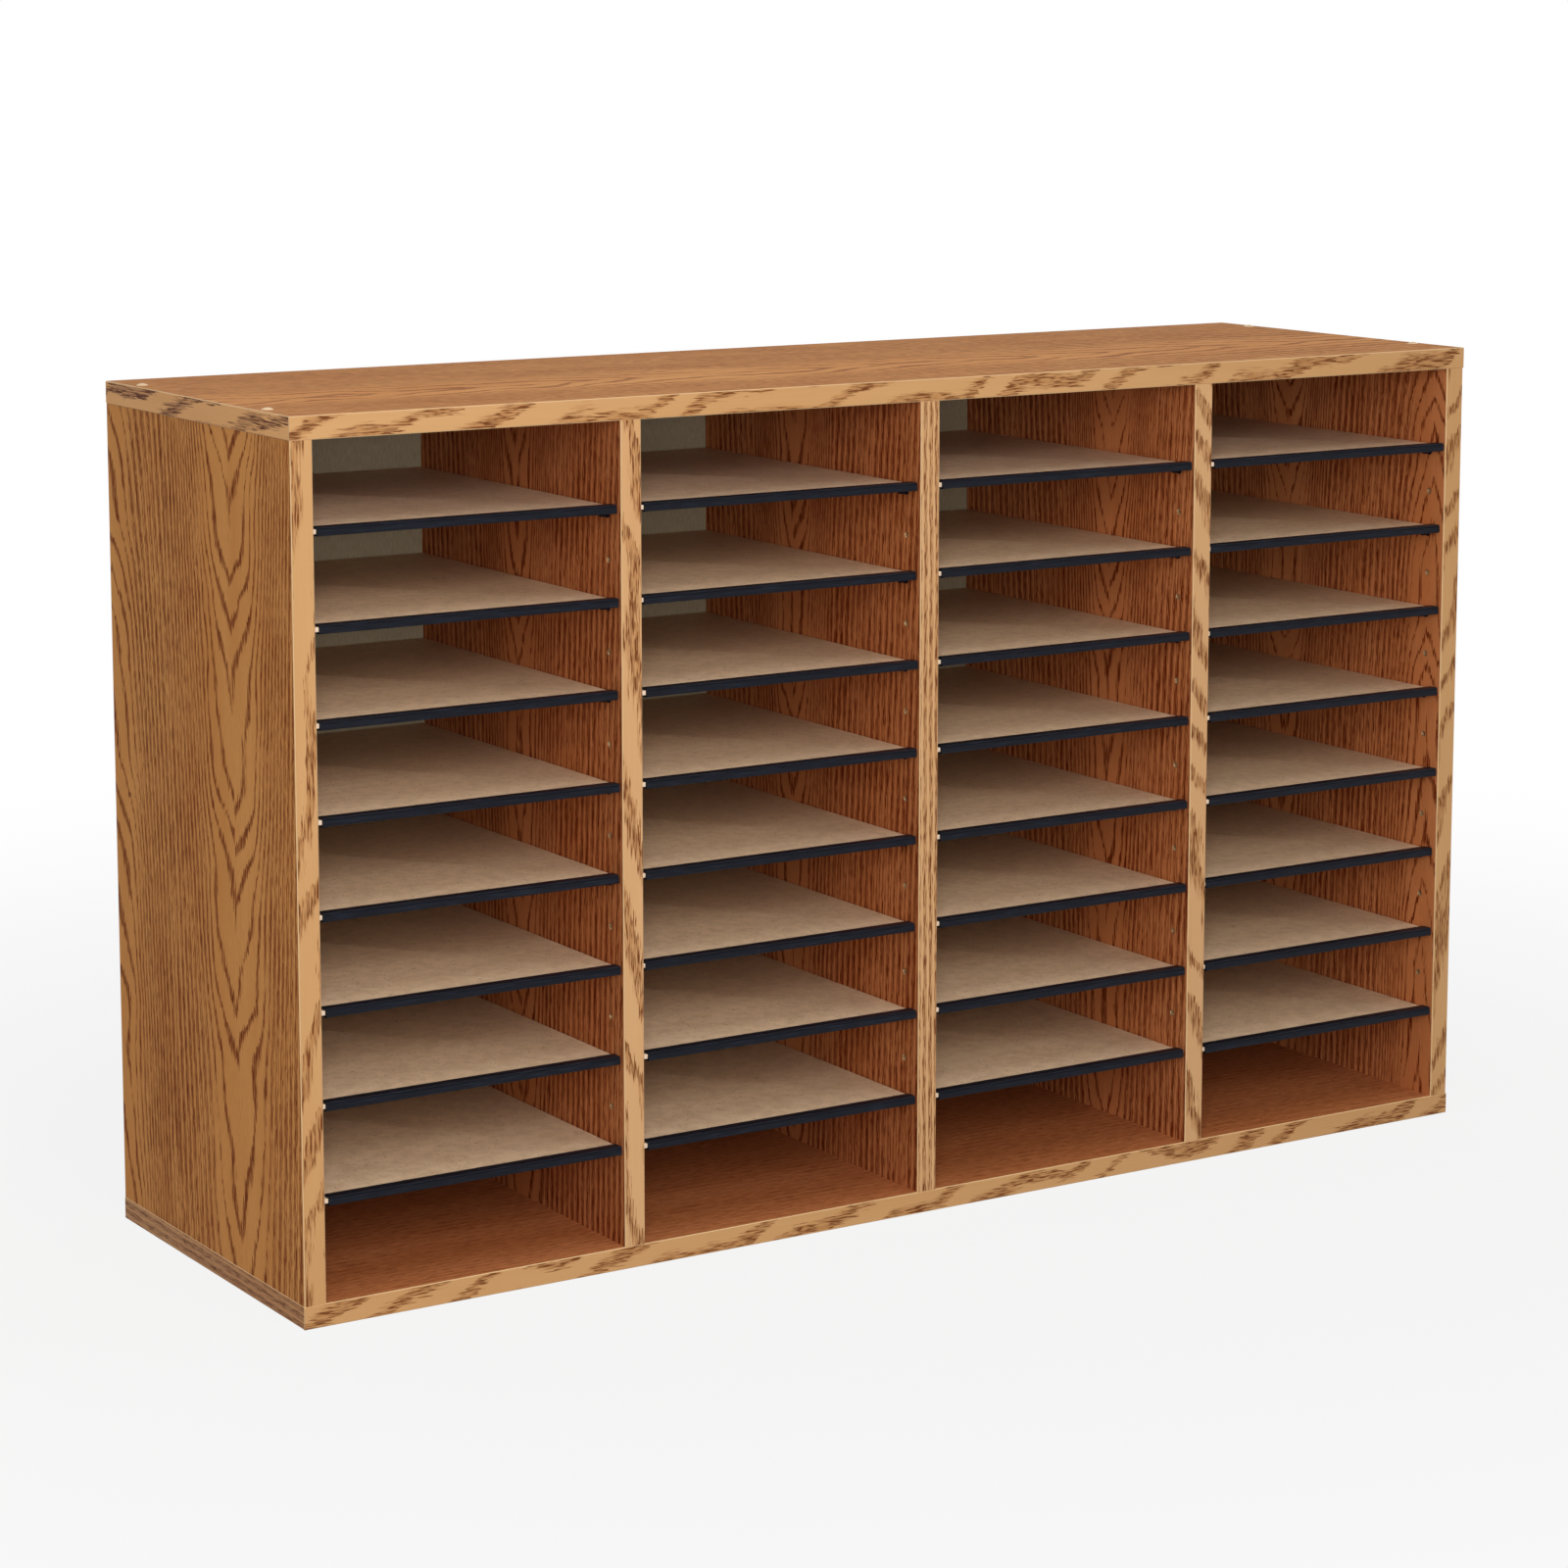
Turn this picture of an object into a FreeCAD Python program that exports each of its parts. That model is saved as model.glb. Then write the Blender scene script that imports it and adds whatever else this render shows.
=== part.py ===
# Adjustable literature organizer: a banded board case with loose shelves on pins.
# Millimetres. +X to the right, +Y to the back, +Z up; origin under the middle of the base.
import FreeCAD
import Part
import os

# Case
CASE_WIDTH = 1000.0
CASE_DEPTH = 298.5
CASE_HEIGHT = 609.6
BOARD = 15.9
COLUMNS = 4
SIDE_INSET = 0.4

# Edge bands glued to the boards' front edges and to the top's and base's ends
BAND = 1.0
BAND_BEVEL = 0.6

# Back panel, set in a rebate round the case
BACK_THICK = 3.2
BACK_RECESS = 0.6
REBATE_WIDTH = 8.0
BACK_EDGE_GAP = 0.3

# Holes for the shelf pins: one row behind the front edge and one before the back
SHELVES_PER_COLUMN = 8
HOLE_PITCH = 32.0
HOLES_PER_SHELF = 2
HOLE_DIAMETER = 5.0
HOLE_DEPTH = 7.0
FRONT_ROW = 18.5
REAR_ROW = 40.0

# Shelf pins: a shank in the hole, a thin collar against the board and a stub
PIN_HOLE_PLAY = 0.1
PIN_END_GAP = 0.5
COLLAR_THICK = 0.8
COLLAR_RIM = 0.8
PIN_REACH = 6.0

# Shelves: a thin board with a channel moulding pressed over its front edge
SHELF_THICK = 3.2
SHELF_SIDE_GAP = 1.2
SHELF_BACK_GAP = 1.0
SHELF_REST_GAP = 0.2
SHELF_SETBACK = 0.4
SETBACK_STEP = 0.9
SETBACK_STEPS = 4
MOULDING_FACE = 1.6
MOULDING_LIP = 1.4
MOULDING_GRIP = 7.4
MOULDING_EASE = 0.4
MOULDING_SHORT = 2.0

# Assembly screws through the top and base into the ends of the uprights
SCREW_SHANK = 4.0
SCREW_HEAD = 7.2
SCREW_HEAD_HEIGHT = 2.8
SCREW_LENGTH = 46.0
SCREW_PLAY = 0.05
SCREW_SLOT = 1.0
SCREW_SLOT_DEPTH = 1.3
SCREW_FROM_FRONT = 50.0
SCREW_FROM_BACK = 45.0
COUNTERBORE = 7.6
TOP_COUNTERBORE_DEPTH = 6.0
BASE_COUNTERBORE_DEPTH = 3.4

# Domed plugs that close the screw holes in the top
PLUG_RIM = 0.4
PLUG_RISE = 1.4
PLUG_STEM = 2.6
PLUG_PLAY = 0.1

# Wood dowels between the uprights and the top and base
DOWEL_DIAMETER = 8.0
DOWEL_LENGTH = 30.0
DOWEL_IN_PANEL = 11.0
DOWEL_PLAY = 0.05
DOWEL_END_GAP = 1.0
DOWEL_FROM_MIDDLE = 60.0

# Small nails that hold the back panel
NAIL_SHANK = 1.4
NAIL_HEAD = 3.6
NAIL_HEAD_THICK = 0.5
NAIL_LENGTH = 16.0
NAIL_PLAY = 0.05
NAILS_PER_UPRIGHT = 4
NAIL_END_MARGIN = 60.0

# Planes that follow from the sizes above
LEFT = -CASE_WIDTH / 2
RIGHT = CASE_WIDTH / 2
FRONT = -CASE_DEPTH / 2
BACK = CASE_DEPTH / 2
BASE_TOP = BOARD
TOP_UNDER = CASE_HEIGHT - BOARD
BACK_FACE = BACK - BACK_RECESS
BACK_INNER = BACK_FACE - BACK_THICK
UPRIGHTS = COLUMNS + 1
UPRIGHT_SPAN = CASE_WIDTH - 2 * SIDE_INSET
CLEAR_WIDTH = (UPRIGHT_SPAN - UPRIGHTS * BOARD) / COLUMNS
SIDE_TONGUE = BOARD - REBATE_WIDTH
HOLE_ROWS = HOLES_PER_SHELF * (SHELVES_PER_COLUMN - 1) + 1
PIN_DIAMETER = HOLE_DIAMETER - 2 * PIN_HOLE_PLAY
SCREW_ROWS = (FRONT + SCREW_FROM_FRONT, BACK - SCREW_FROM_BACK)
DOWEL_ROWS = (-DOWEL_FROM_MIDDLE, DOWEL_FROM_MIDDLE)
PIN_ROWS = (FRONT + FRONT_ROW, BACK - REAR_ROW)

AXIS_X = FreeCAD.Vector(1, 0, 0)
AXIS_Y = FreeCAD.Vector(0, 1, 0)
AXIS_Z = FreeCAD.Vector(0, 0, 1)

UPRIGHT_NAMES = ["left_side"] + ["divider_%d" % n for n in range(1, COLUMNS)] + ["right_side"]


# Simple shapes

def block(low, high):
    """A box between two corners."""
    size = [b - a for a, b in zip(low, high)]
    return Part.makeBox(*size, FreeCAD.Vector(*low))


def rod(start, axis, length, diameter):
    """A cylinder of one diameter that starts at a point and runs along an axis."""
    return Part.makeCylinder(diameter / 2, length, FreeCAD.Vector(*start), axis)


def strip(start, along, across, out, length, width):
    """An edge band: a thin strip with both outer edges bevelled, lying on a board's edge."""
    half = width / 2
    outline = [(-half, 0), (half, 0), (half, BAND - BAND_BEVEL), (half - BAND_BEVEL, BAND),
               (-half + BAND_BEVEL, BAND), (-half, BAND - BAND_BEVEL)]
    corners = [FreeCAD.Vector(*start) + across * a + out * b for a, b in outline]
    return Part.Face(Part.makePolygon(corners + corners[:1])).extrude(along * length)


def group(solids):
    """Separate solids that share one node."""
    return solids[0] if len(solids) == 1 else Part.makeCompound(solids)


# Places that several pieces share

def upright_left(index):
    """The left face of an upright, counted from 0 at the left side."""
    return LEFT + SIDE_INSET + index * (BOARD + CLEAR_WIDTH)


def upright_middle(index):
    return upright_left(index) + BOARD / 2


def hole_heights():
    """The heights of one row of pin holes, even about the middle of the case."""
    middle = CASE_HEIGHT / 2
    return [middle + (n - (HOLE_ROWS - 1) / 2) * HOLE_PITCH for n in range(HOLE_ROWS)]


def pin_height(row):
    """The height of the pins under one shelf, with row 1 at the bottom."""
    return hole_heights()[(row - 1) * HOLES_PER_SHELF]


def nail_places():
    """Where the nails pass through the back panel: up each upright and along top and base."""
    low = BASE_TOP + NAIL_END_MARGIN
    step = (TOP_UNDER - NAIL_END_MARGIN - low) / (NAILS_PER_UPRIGHT - 1)
    columns = [upright_middle(n) for n in range(1, COLUMNS)]
    shoulder = SIDE_INSET + SIDE_TONGUE + REBATE_WIDTH / 2
    columns += [LEFT + shoulder, RIGHT - shoulder]
    places = [(x, low + n * step) for x in columns for n in range(NAILS_PER_UPRIGHT)]
    ledge = SIDE_TONGUE + REBATE_WIDTH / 2
    for index in range(COLUMNS):
        x = upright_left(index) + BOARD + CLEAR_WIDTH / 2
        places += [(x, ledge), (x, CASE_HEIGHT - ledge)]
    return places


# Hollows that are cut out of the boards

def back_rebate():
    """The room for the back panel, which laps the case boards by the rebate's width."""
    side = SIDE_INSET + SIDE_TONGUE
    return block((LEFT + side, BACK_INNER, SIDE_TONGUE),
                 (RIGHT - side, BACK, CASE_HEIGHT - SIDE_TONGUE))


def nail_holes():
    length = BACK_FACE - BACK_INNER + NAIL_LENGTH
    return [rod((x, BACK_FACE, z), -AXIS_Y, length, NAIL_SHANK + 2 * NAIL_PLAY)
            for x, z in nail_places()]


def screw_holes(index, from_top):
    """Counterbore, clearance hole and pilot hole of one upright's screws at one end."""
    face = CASE_HEIGHT if from_top else 0
    inward = -AXIS_Z if from_top else AXIS_Z
    depth = TOP_COUNTERBORE_DEPTH if from_top else BASE_COUNTERBORE_DEPTH
    holes = []
    for y in SCREW_ROWS:
        start = (upright_middle(index), y, face)
        holes.append(rod(start, inward, depth, COUNTERBORE))
        holes.append(rod(start, inward, depth + SCREW_LENGTH, SCREW_SHANK + 2 * SCREW_PLAY))
    return holes


def dowel_holes(index, at_top):
    """The holes for one upright's dowels at one end, with room left above each dowel."""
    low = TOP_UNDER - (DOWEL_LENGTH - DOWEL_IN_PANEL) if at_top else BASE_TOP - DOWEL_IN_PANEL
    return [rod((upright_middle(index), y, low), AXIS_Z, DOWEL_LENGTH + DOWEL_END_GAP,
                DOWEL_DIAMETER + 2 * DOWEL_PLAY) for y in DOWEL_ROWS]


def pin_holes(index):
    """Blind holes in each face of an upright that looks into a column."""
    holes = []
    for z in hole_heights():
        for y in PIN_ROWS:
            if index > 0:
                holes.append(rod((upright_left(index), y, z), AXIS_X, HOLE_DEPTH, HOLE_DIAMETER))
            if index < COLUMNS:
                right = upright_left(index) + BOARD
                holes.append(rod((right, y, z), -AXIS_X, HOLE_DEPTH, HOLE_DIAMETER))
    return holes


# Boards of the case

def lid_board(low, high, holes):
    """The top or the base between its edge bands, with its rebate and holes."""
    board = block((LEFT + BAND, FRONT + BAND, low), (RIGHT - BAND, BACK, high))
    return board.cut(holes + [back_rebate()] + nail_holes())


def top_panel():
    holes = []
    for index in range(UPRIGHTS):
        holes += dowel_holes(index, True)
    for index in (0, COLUMNS):
        holes += screw_holes(index, True)
    return lid_board(TOP_UNDER, CASE_HEIGHT, holes)


def base_panel():
    holes = []
    for index in range(UPRIGHTS):
        holes += dowel_holes(index, False) + screw_holes(index, False)
    return lid_board(0, BASE_TOP, holes)


def upright(index):
    """A side or a divider, with its pin holes, rebate and the holes in its two ends."""
    left = upright_left(index)
    board = block((left, FRONT + BAND, BASE_TOP), (left + BOARD, BACK, TOP_UNDER))
    holes = pin_holes(index) + dowel_holes(index, True) + dowel_holes(index, False)
    holes += screw_holes(index, False)
    if index in (0, COLUMNS):
        holes += screw_holes(index, True)
    return board.cut(holes + [back_rebate()] + nail_holes())


def back_panel():
    side = SIDE_INSET + SIDE_TONGUE + BACK_EDGE_GAP
    low = SIDE_TONGUE + BACK_EDGE_GAP
    sheet = block((LEFT + side, BACK_INNER, low), (RIGHT - side, BACK_FACE, CASE_HEIGHT - low))
    return sheet.cut(nail_holes())


# Edge bands

def lid_front_band(middle):
    return strip((LEFT, FRONT + BAND, middle), AXIS_X, AXIS_Z, -AXIS_Y, CASE_WIDTH, BOARD)


def lid_end_bands(middle):
    """The bands on the left and right ends of the top or the base."""
    length = CASE_DEPTH - BAND
    left = strip((LEFT + BAND, FRONT + BAND, middle), AXIS_Y, AXIS_Z, -AXIS_X, length, BOARD)
    right = strip((RIGHT - BAND, FRONT + BAND, middle), AXIS_Y, AXIS_Z, AXIS_X, length, BOARD)
    return group([left, right])


def upright_band(index):
    start = (upright_middle(index), FRONT + BAND, BASE_TOP)
    return strip(start, AXIS_Z, AXIS_X, -AXIS_Y, TOP_UNDER - BASE_TOP, BOARD)


# Fixings

def screw(x, y, seat, inward):
    """A flat-topped screw whose head sits on a counterbore's floor, with a crossed slot."""
    face = seat - inward.z * SCREW_HEAD_HEIGHT
    shank = rod((x, y, seat), inward, SCREW_LENGTH - SCREW_HEAD_HEIGHT, SCREW_SHANK)
    body = rod((x, y, face), inward, SCREW_HEAD_HEIGHT, SCREW_HEAD).fuse(shank)
    reach = SCREW_HEAD / 3
    floor = face + inward.z * SCREW_SLOT_DEPTH
    low, high = sorted((face, floor))
    across = block((x - reach, y - SCREW_SLOT / 2, low), (x + reach, y + SCREW_SLOT / 2, high))
    along = block((x - SCREW_SLOT / 2, y - reach, low), (x + SCREW_SLOT / 2, y + reach, high))
    return body.cut([across, along]).removeSplitter()


def top_screws():
    seat = CASE_HEIGHT - TOP_COUNTERBORE_DEPTH
    return group([screw(upright_middle(index), y, seat, -AXIS_Z)
                  for index in (0, COLUMNS) for y in SCREW_ROWS])


def base_screws():
    return group([screw(upright_middle(index), y, BASE_COUNTERBORE_DEPTH, AXIS_Z)
                  for index in range(UPRIGHTS) for y in SCREW_ROWS])


def plug(x, y):
    """A stem in the counterbore under a shallow dome that laps the hole's edge."""
    radius = COUNTERBORE / 2 + PLUG_RIM
    stem = rod((x, y, CASE_HEIGHT - PLUG_STEM), AXIS_Z, PLUG_STEM, COUNTERBORE - 2 * PLUG_PLAY)
    ball = (radius ** 2 + PLUG_RISE ** 2) / (2 * PLUG_RISE)
    centre = FreeCAD.Vector(x, y, CASE_HEIGHT + PLUG_RISE - ball)
    cap = Part.makeSphere(ball, centre).common(
        rod((x, y, CASE_HEIGHT), AXIS_Z, PLUG_RISE, 2 * radius))
    return stem.fuse(cap)


def top_plugs():
    return group([plug(upright_middle(index), y) for index in (0, COLUMNS) for y in SCREW_ROWS])


def dowels(at_top):
    low = TOP_UNDER - (DOWEL_LENGTH - DOWEL_IN_PANEL) if at_top else BASE_TOP - DOWEL_IN_PANEL
    return group([rod((upright_middle(index), y, low), AXIS_Z, DOWEL_LENGTH, DOWEL_DIAMETER)
                  for index in range(UPRIGHTS) for y in DOWEL_ROWS])


def back_nails():
    nails = []
    for x, z in nail_places():
        shank = rod((x, BACK_FACE, z), -AXIS_Y, NAIL_LENGTH, NAIL_SHANK)
        head = rod((x, BACK_FACE, z), AXIS_Y, NAIL_HEAD_THICK, NAIL_HEAD)
        nails.append(head.fuse(shank))
    return group(nails)


def shelf_pin(wall, y, z, away):
    """One pin: its shank goes into the wall, its collar and stub stand away from it."""
    shank_length = HOLE_DEPTH - PIN_END_GAP
    start = (wall - away.x * shank_length, y, z)
    length = shank_length + PIN_REACH
    collar = rod((wall, y, z), away, COLLAR_THICK, PIN_DIAMETER + 2 * COLLAR_RIM)
    return rod(start, away, length, PIN_DIAMETER).fuse(collar).removeSplitter()


def column_pins(column):
    """The four pins under each shelf of one column."""
    left_wall = upright_left(column - 1) + BOARD
    right_wall = upright_left(column)
    pins = []
    for row in range(1, SHELVES_PER_COLUMN + 1):
        for y in PIN_ROWS:
            pins.append(shelf_pin(left_wall, y, pin_height(row), AXIS_X))
            pins.append(shelf_pin(right_wall, y, pin_height(row), -AXIS_X))
    return group(pins)


# Shelves

def shelf_setback(column, row):
    """How far a loose shelf was pushed in: a few small steps that look unordered."""
    return SHELF_SETBACK + SETBACK_STEP * ((3 * column + 5 * row + column * row) % SETBACK_STEPS)


def moulding(left, right, front, board_low):
    """A channel: a stepped face with an upper and a lower lip that grip the board."""
    lip = MOULDING_LIP
    ease = MOULDING_EASE
    face = MOULDING_FACE
    deep = MOULDING_FACE + MOULDING_GRIP
    low = board_low - lip
    high = board_low + SHELF_THICK + lip
    step = high - lip
    outline = [(ease, low), (0, low + ease), (0, step), (ease, step + ease), (ease, high - ease),
               (2 * ease, high), (deep, high), (deep, high - lip), (face, high - lip),
               (face, board_low), (deep, board_low), (deep, low)]
    corners = [FreeCAD.Vector(left, front + y, z) for y, z in outline]
    section = Part.Face(Part.makePolygon(corners + corners[:1]))
    return section.extrude(AXIS_X * (right - left))


def shelf(column, row):
    """A shelf board and its front moulding, resting just above its pins."""
    left = upright_left(column - 1) + BOARD + SHELF_SIDE_GAP
    right = upright_left(column) - SHELF_SIDE_GAP
    low = pin_height(row) + PIN_DIAMETER / 2 + SHELF_REST_GAP
    front = FRONT + shelf_setback(column, row)
    deepest = FRONT + SHELF_SETBACK + SETBACK_STEP * (SETBACK_STEPS - 1)
    board_depth = BACK_INNER - SHELF_BACK_GAP - deepest - MOULDING_FACE
    board_front = front + MOULDING_FACE
    board = block((left, board_front, low),
                  (right, board_front + board_depth, low + SHELF_THICK))
    return group([board, moulding(left + MOULDING_SHORT, right - MOULDING_SHORT, front, low)])


# All nodes

def nodes():
    top_middle = CASE_HEIGHT - BOARD / 2
    base_middle = BOARD / 2
    made = {"top_panel": top_panel(), "base_panel": base_panel(), "back_panel": back_panel()}
    made["top_front_band"] = lid_front_band(top_middle)
    made["base_front_band"] = lid_front_band(base_middle)
    made["top_end_bands"] = lid_end_bands(top_middle)
    made["base_end_bands"] = lid_end_bands(base_middle)
    for index, name in enumerate(UPRIGHT_NAMES):
        made[name] = upright(index)
        made[name + "_front_band"] = upright_band(index)
    made["top_screws"] = top_screws()
    made["base_screws"] = base_screws()
    made["top_screw_plugs"] = top_plugs()
    made["top_dowels"] = dowels(True)
    made["base_dowels"] = dowels(False)
    made["back_nails"] = back_nails()
    for column in range(1, COLUMNS + 1):
        made["shelf_pins_%d" % column] = column_pins(column)
        for row in range(1, SHELVES_PER_COLUMN + 1):
            made["shelf_%d_%d" % (column, row)] = shelf(column, row)
    return made


def main():
    os.makedirs("parts", exist_ok=True)
    for name, shape in nodes().items():
        if not shape.isValid():
            raise ValueError("%s isn't a valid shape" % name)
        shape.exportStep("parts/%s.step" % name)


main()
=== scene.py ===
"""A wide literature organizer: oak-print boards, edge bands, and 32 loose hardboard shelves.

Metres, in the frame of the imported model. Patterns on the boards are worked out in millimetres.
"""
import math

import bpy
import numpy as np
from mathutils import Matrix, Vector


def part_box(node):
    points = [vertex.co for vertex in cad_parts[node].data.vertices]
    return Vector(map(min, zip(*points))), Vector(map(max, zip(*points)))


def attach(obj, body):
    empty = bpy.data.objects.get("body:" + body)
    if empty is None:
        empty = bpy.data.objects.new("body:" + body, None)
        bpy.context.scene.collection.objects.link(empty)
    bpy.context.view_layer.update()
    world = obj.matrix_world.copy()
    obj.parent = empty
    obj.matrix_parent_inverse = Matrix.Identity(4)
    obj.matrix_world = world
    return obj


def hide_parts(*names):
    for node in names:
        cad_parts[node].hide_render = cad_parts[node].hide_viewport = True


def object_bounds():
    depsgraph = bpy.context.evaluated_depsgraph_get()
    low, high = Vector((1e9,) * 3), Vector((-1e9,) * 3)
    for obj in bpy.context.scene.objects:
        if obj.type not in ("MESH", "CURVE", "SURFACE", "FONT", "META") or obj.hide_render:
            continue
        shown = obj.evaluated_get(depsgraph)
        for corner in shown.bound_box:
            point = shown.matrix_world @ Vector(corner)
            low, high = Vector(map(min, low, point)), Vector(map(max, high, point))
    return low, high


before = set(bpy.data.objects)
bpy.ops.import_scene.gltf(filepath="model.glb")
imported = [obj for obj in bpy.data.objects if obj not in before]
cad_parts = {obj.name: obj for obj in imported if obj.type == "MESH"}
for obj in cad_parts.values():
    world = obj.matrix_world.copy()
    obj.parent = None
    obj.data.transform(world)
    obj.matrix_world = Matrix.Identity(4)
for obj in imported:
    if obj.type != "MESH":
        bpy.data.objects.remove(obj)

CAD_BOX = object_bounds()

MM = 0.001
COLUMNS = range(1, 5)
ROWS = range(1, 9)

# Camera: where it stands, which way it looks, and the photograph's own framing
CAMERA_PLACE = (-1.6105, -2.4958, 0.8683)
CAMERA_TURN = 32.367
CAMERA_DIP = 8.171
CAMERA_LENS = 92.44
CAMERA_SHIFT = -0.125

# Light: two square lamps, each with its place, size and watts, and an even sky
LAMPS = {"key": ((-1.0, -2.2, 1.0), 1.2, 36.0), "overhead": ((-0.4, -1.3, 2.9), 1.8, 16.0)}
LAMP_AIM = (0.0, 0.0, 0.3)
SKY_STRENGTH = 0.42

# Floor: a disc just under the base, so that the two faces don't lie in one plane
FLOOR_RADIUS = 14.0
FLOOR_GAP = 0.2 * MM
FLOOR_POINTS = 96

# How the floor fades to white, by the distance from its middle in millimetres
FADE_START = 500.0
FADE_END = 1800.0
FADE_LEAST = 0.86
FLOOR_PATCH = 250.0

# Skins: the boards' film and the back panel's paper lining, and the print on the edge bands
LAMINATE = 0.3 * MM
BAND_SKIN = 0.25 * MM

# Shelf board: the easing of its rim, its corners, the rings of one easing, and the share that is sawn
BOARD_EASE = 0.35 * MM
BOARD_CORNER = 0.8 * MM
EASE_POINTS = 4
SAWN_SHARE = 0.6

# Front moulding, with its shortfall at the shelf's left and right end
MOULDING_LIP = 1.4 * MM
MOULDING_FACE = 1.6 * MM
MOULDING_DEEP = 9.0 * MM
MOULDING_SHORT = (2.6 * MM, 0.4 * MM)
MOULDING_ROUND = 0.45 * MM
MOULDING_STEP = 0.4 * MM
MOULDING_GROOVE = 0.2 * MM
GROOVE_SLANT = 1.6
CHANNEL_CORNER = 0.1 * MM
GROOVE_CORNER = 0.05 * MM


def paint(red, green, blue):
    """A colour written as it looks on a screen, 0 to 255, as the linear colour that a shader takes."""
    shares = np.array((red, green, blue)) / 255
    linear = np.where(shares <= 0.04045, shares / 12.92, ((shares + 0.055) / 1.055) ** 2.4)
    return (*linear.tolist(), 1.0)


class Wiring:
    """Adds nodes to one shader tree. Values may be numbers, colours or the output of another node."""

    def __init__(self, tree):
        self.tree = tree

    def join(self, socket, value):
        if isinstance(value, bpy.types.NodeSocket):
            self.tree.links.new(value, socket)
        else:
            socket.default_value = value

    def add(self, kind, inputs=None, **settings):
        node = self.tree.nodes.new(kind)
        for name, value in settings.items():
            setattr(node, name, value)
        for name, value in (inputs or {}).items():
            self.join(node.inputs[name], value)
        return node

    def calc(self, operation, *values):
        node = self.add("ShaderNodeMath", operation=operation)
        for socket, value in zip(node.inputs, values):
            self.join(socket, value)
        return node.outputs[0]

    def slope(self, value, start, end, low=0.0, high=1.0):
        """Low before start, high after end, and a smooth step between."""
        node = self.add("ShaderNodeMapRange", interpolation_type="SMOOTHSTEP")
        for socket, given in zip(node.inputs, (value, start, end, low, high)):
            self.join(socket, given)
        return node.outputs[0]

    def ramp(self, mask, low, high):
        """Low where the mask is 0 and high where it is 1."""
        return self.slope(mask, 0.0, 1.0, low, high)

    def point(self, x, y, z):
        return self.add("ShaderNodeCombineXYZ", {"X": x, "Y": y, "Z": z}).outputs[0]

    def noise(self, x, y, z, detail):
        """Soft noise from 0 to 1 about 0.5, one bump to each unit of x, y and z."""
        place = self.point(x, y, z)
        node = self.add("ShaderNodeTexNoise", {"Vector": place, "Scale": 1.0, "Detail": detail})
        return node.outputs["Fac"]

    def bumps(self, place, sizes, detail=2.0):
        """Noise from 0 to 1 whose bumps have the given sizes along x, y and z."""
        scaled = [self.calc("DIVIDE", axis, size) for axis, size in zip(place, sizes)]
        return self.noise(*scaled, detail)

    def stretched(self, across, along, seed, wide, long, detail):
        """Noise drawn out along the grain: bumps of the given width and length, from -0.5 to 0.5."""
        x = self.calc("DIVIDE", across, wide)
        y = self.calc("DIVIDE", along, long)
        return self.calc("SUBTRACT", self.noise(x, y, seed, detail), 0.5)

    def blend(self, share, first, second):
        node = self.add("ShaderNodeMix", data_type="RGBA")
        for index, value in ((0, share), (6, first), (7, second)):
            self.join(node.inputs[index], value)
        return node.outputs[2]

    def tint(self, colour, factors):
        node = self.add("ShaderNodeMix", data_type="RGBA", blend_type="MULTIPLY")
        for index, value in ((0, 1.0), (6, colour), (7, factors)):
            self.join(node.inputs[index], value)
        return node.outputs[2]

    def group(self, tree, **inputs):
        node = self.add("ShaderNodeGroup", node_tree=tree)
        for name, value in inputs.items():
            self.join(node.inputs[name], value)
        return node.outputs

    def here(self):
        """Object coordinates in millimetres, as three outputs."""
        place = self.add("ShaderNodeTexCoord").outputs["Object"]
        scaled = self.add("ShaderNodeVectorMath", operation="SCALE")
        self.join(scaled.inputs[0], place)
        self.join(scaled.inputs["Scale"], 1 / MM)
        return self.add("ShaderNodeSeparateXYZ", {"Vector": scaled.outputs[0]}).outputs


NUMBER = "NodeSocketFloat"
COLOUR = "NodeSocketColor"


def numbers(*names):
    """Sockets of a shader group that all hold plain numbers."""
    return dict.fromkeys(names, NUMBER)


def new_group(name, inputs, outputs):
    """An empty shader group. Inputs and outputs map each name to NUMBER or COLOUR."""
    tree = bpy.data.node_groups.new(name, "ShaderNodeTree")
    for way, sockets in (("INPUT", inputs), ("OUTPUT", outputs)):
        for label, kind in sockets.items():
            tree.interface.new_socket(label, in_out=way, socket_type=kind)
    wiring = Wiring(tree)
    given = wiring.add("NodeGroupInput").outputs
    result = wiring.add("NodeGroupOutput").inputs
    return wiring, given, result


# The growth lines of flat-sawn oak

# Lengths counted in Core: where the lines turn straight, where they come to lean less, how far they
# stray from side to side, and how softly their climb steepens
STRAIGHT_START = 0.75
STRAIGHT_END = 1.8
LEAN_START = 0.7
LEAN_END = 2.9
WANDER = 0.63
CRINKLE = 0.23
KNEE = 0.35

# Lengths counted in lines: P, how far the two flanks of an arch differ, and how ragged a line is
ARCHES = 9.0
UNEVENNESS = 3.0
RAGGEDNESS = 0.62

# What is left of the lean far out, and what straight lines lose of their straying
FAR_SHARE = 0.35
STEADINESS = 0.88

# The tip of an arch, rounded as the root of a square plus TIP_ROUND, less TIP_DROP
TIP_ROUND = 2.0
TIP_DROP = 1.4

# A dark band, in shares of one line: how its breadth varies, its least breadth and its sharp start.
# BAND_FADE is the share of its breadth at which it begins to fade
SWELLING = 0.9
THINNEST_BAND = 0.12
BAND_START = 0.06
BAND_FADE = 0.7

# Thin threads between the bands: their number to a line, where they lie, and how each comes and goes
THREADS = 2.0
THREAD_OFFSET = 0.4
THREAD_START = 0.15
THREAD_FADE = (0.2, 0.5)
THREAD_WEIGHT = 0.85

# Levels of noise from which a streak is whole and a pore shows
UNBROKEN_LEVELS = (-0.10, 0.04)
PORE_LEVELS = (-0.06, 0.06)

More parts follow.
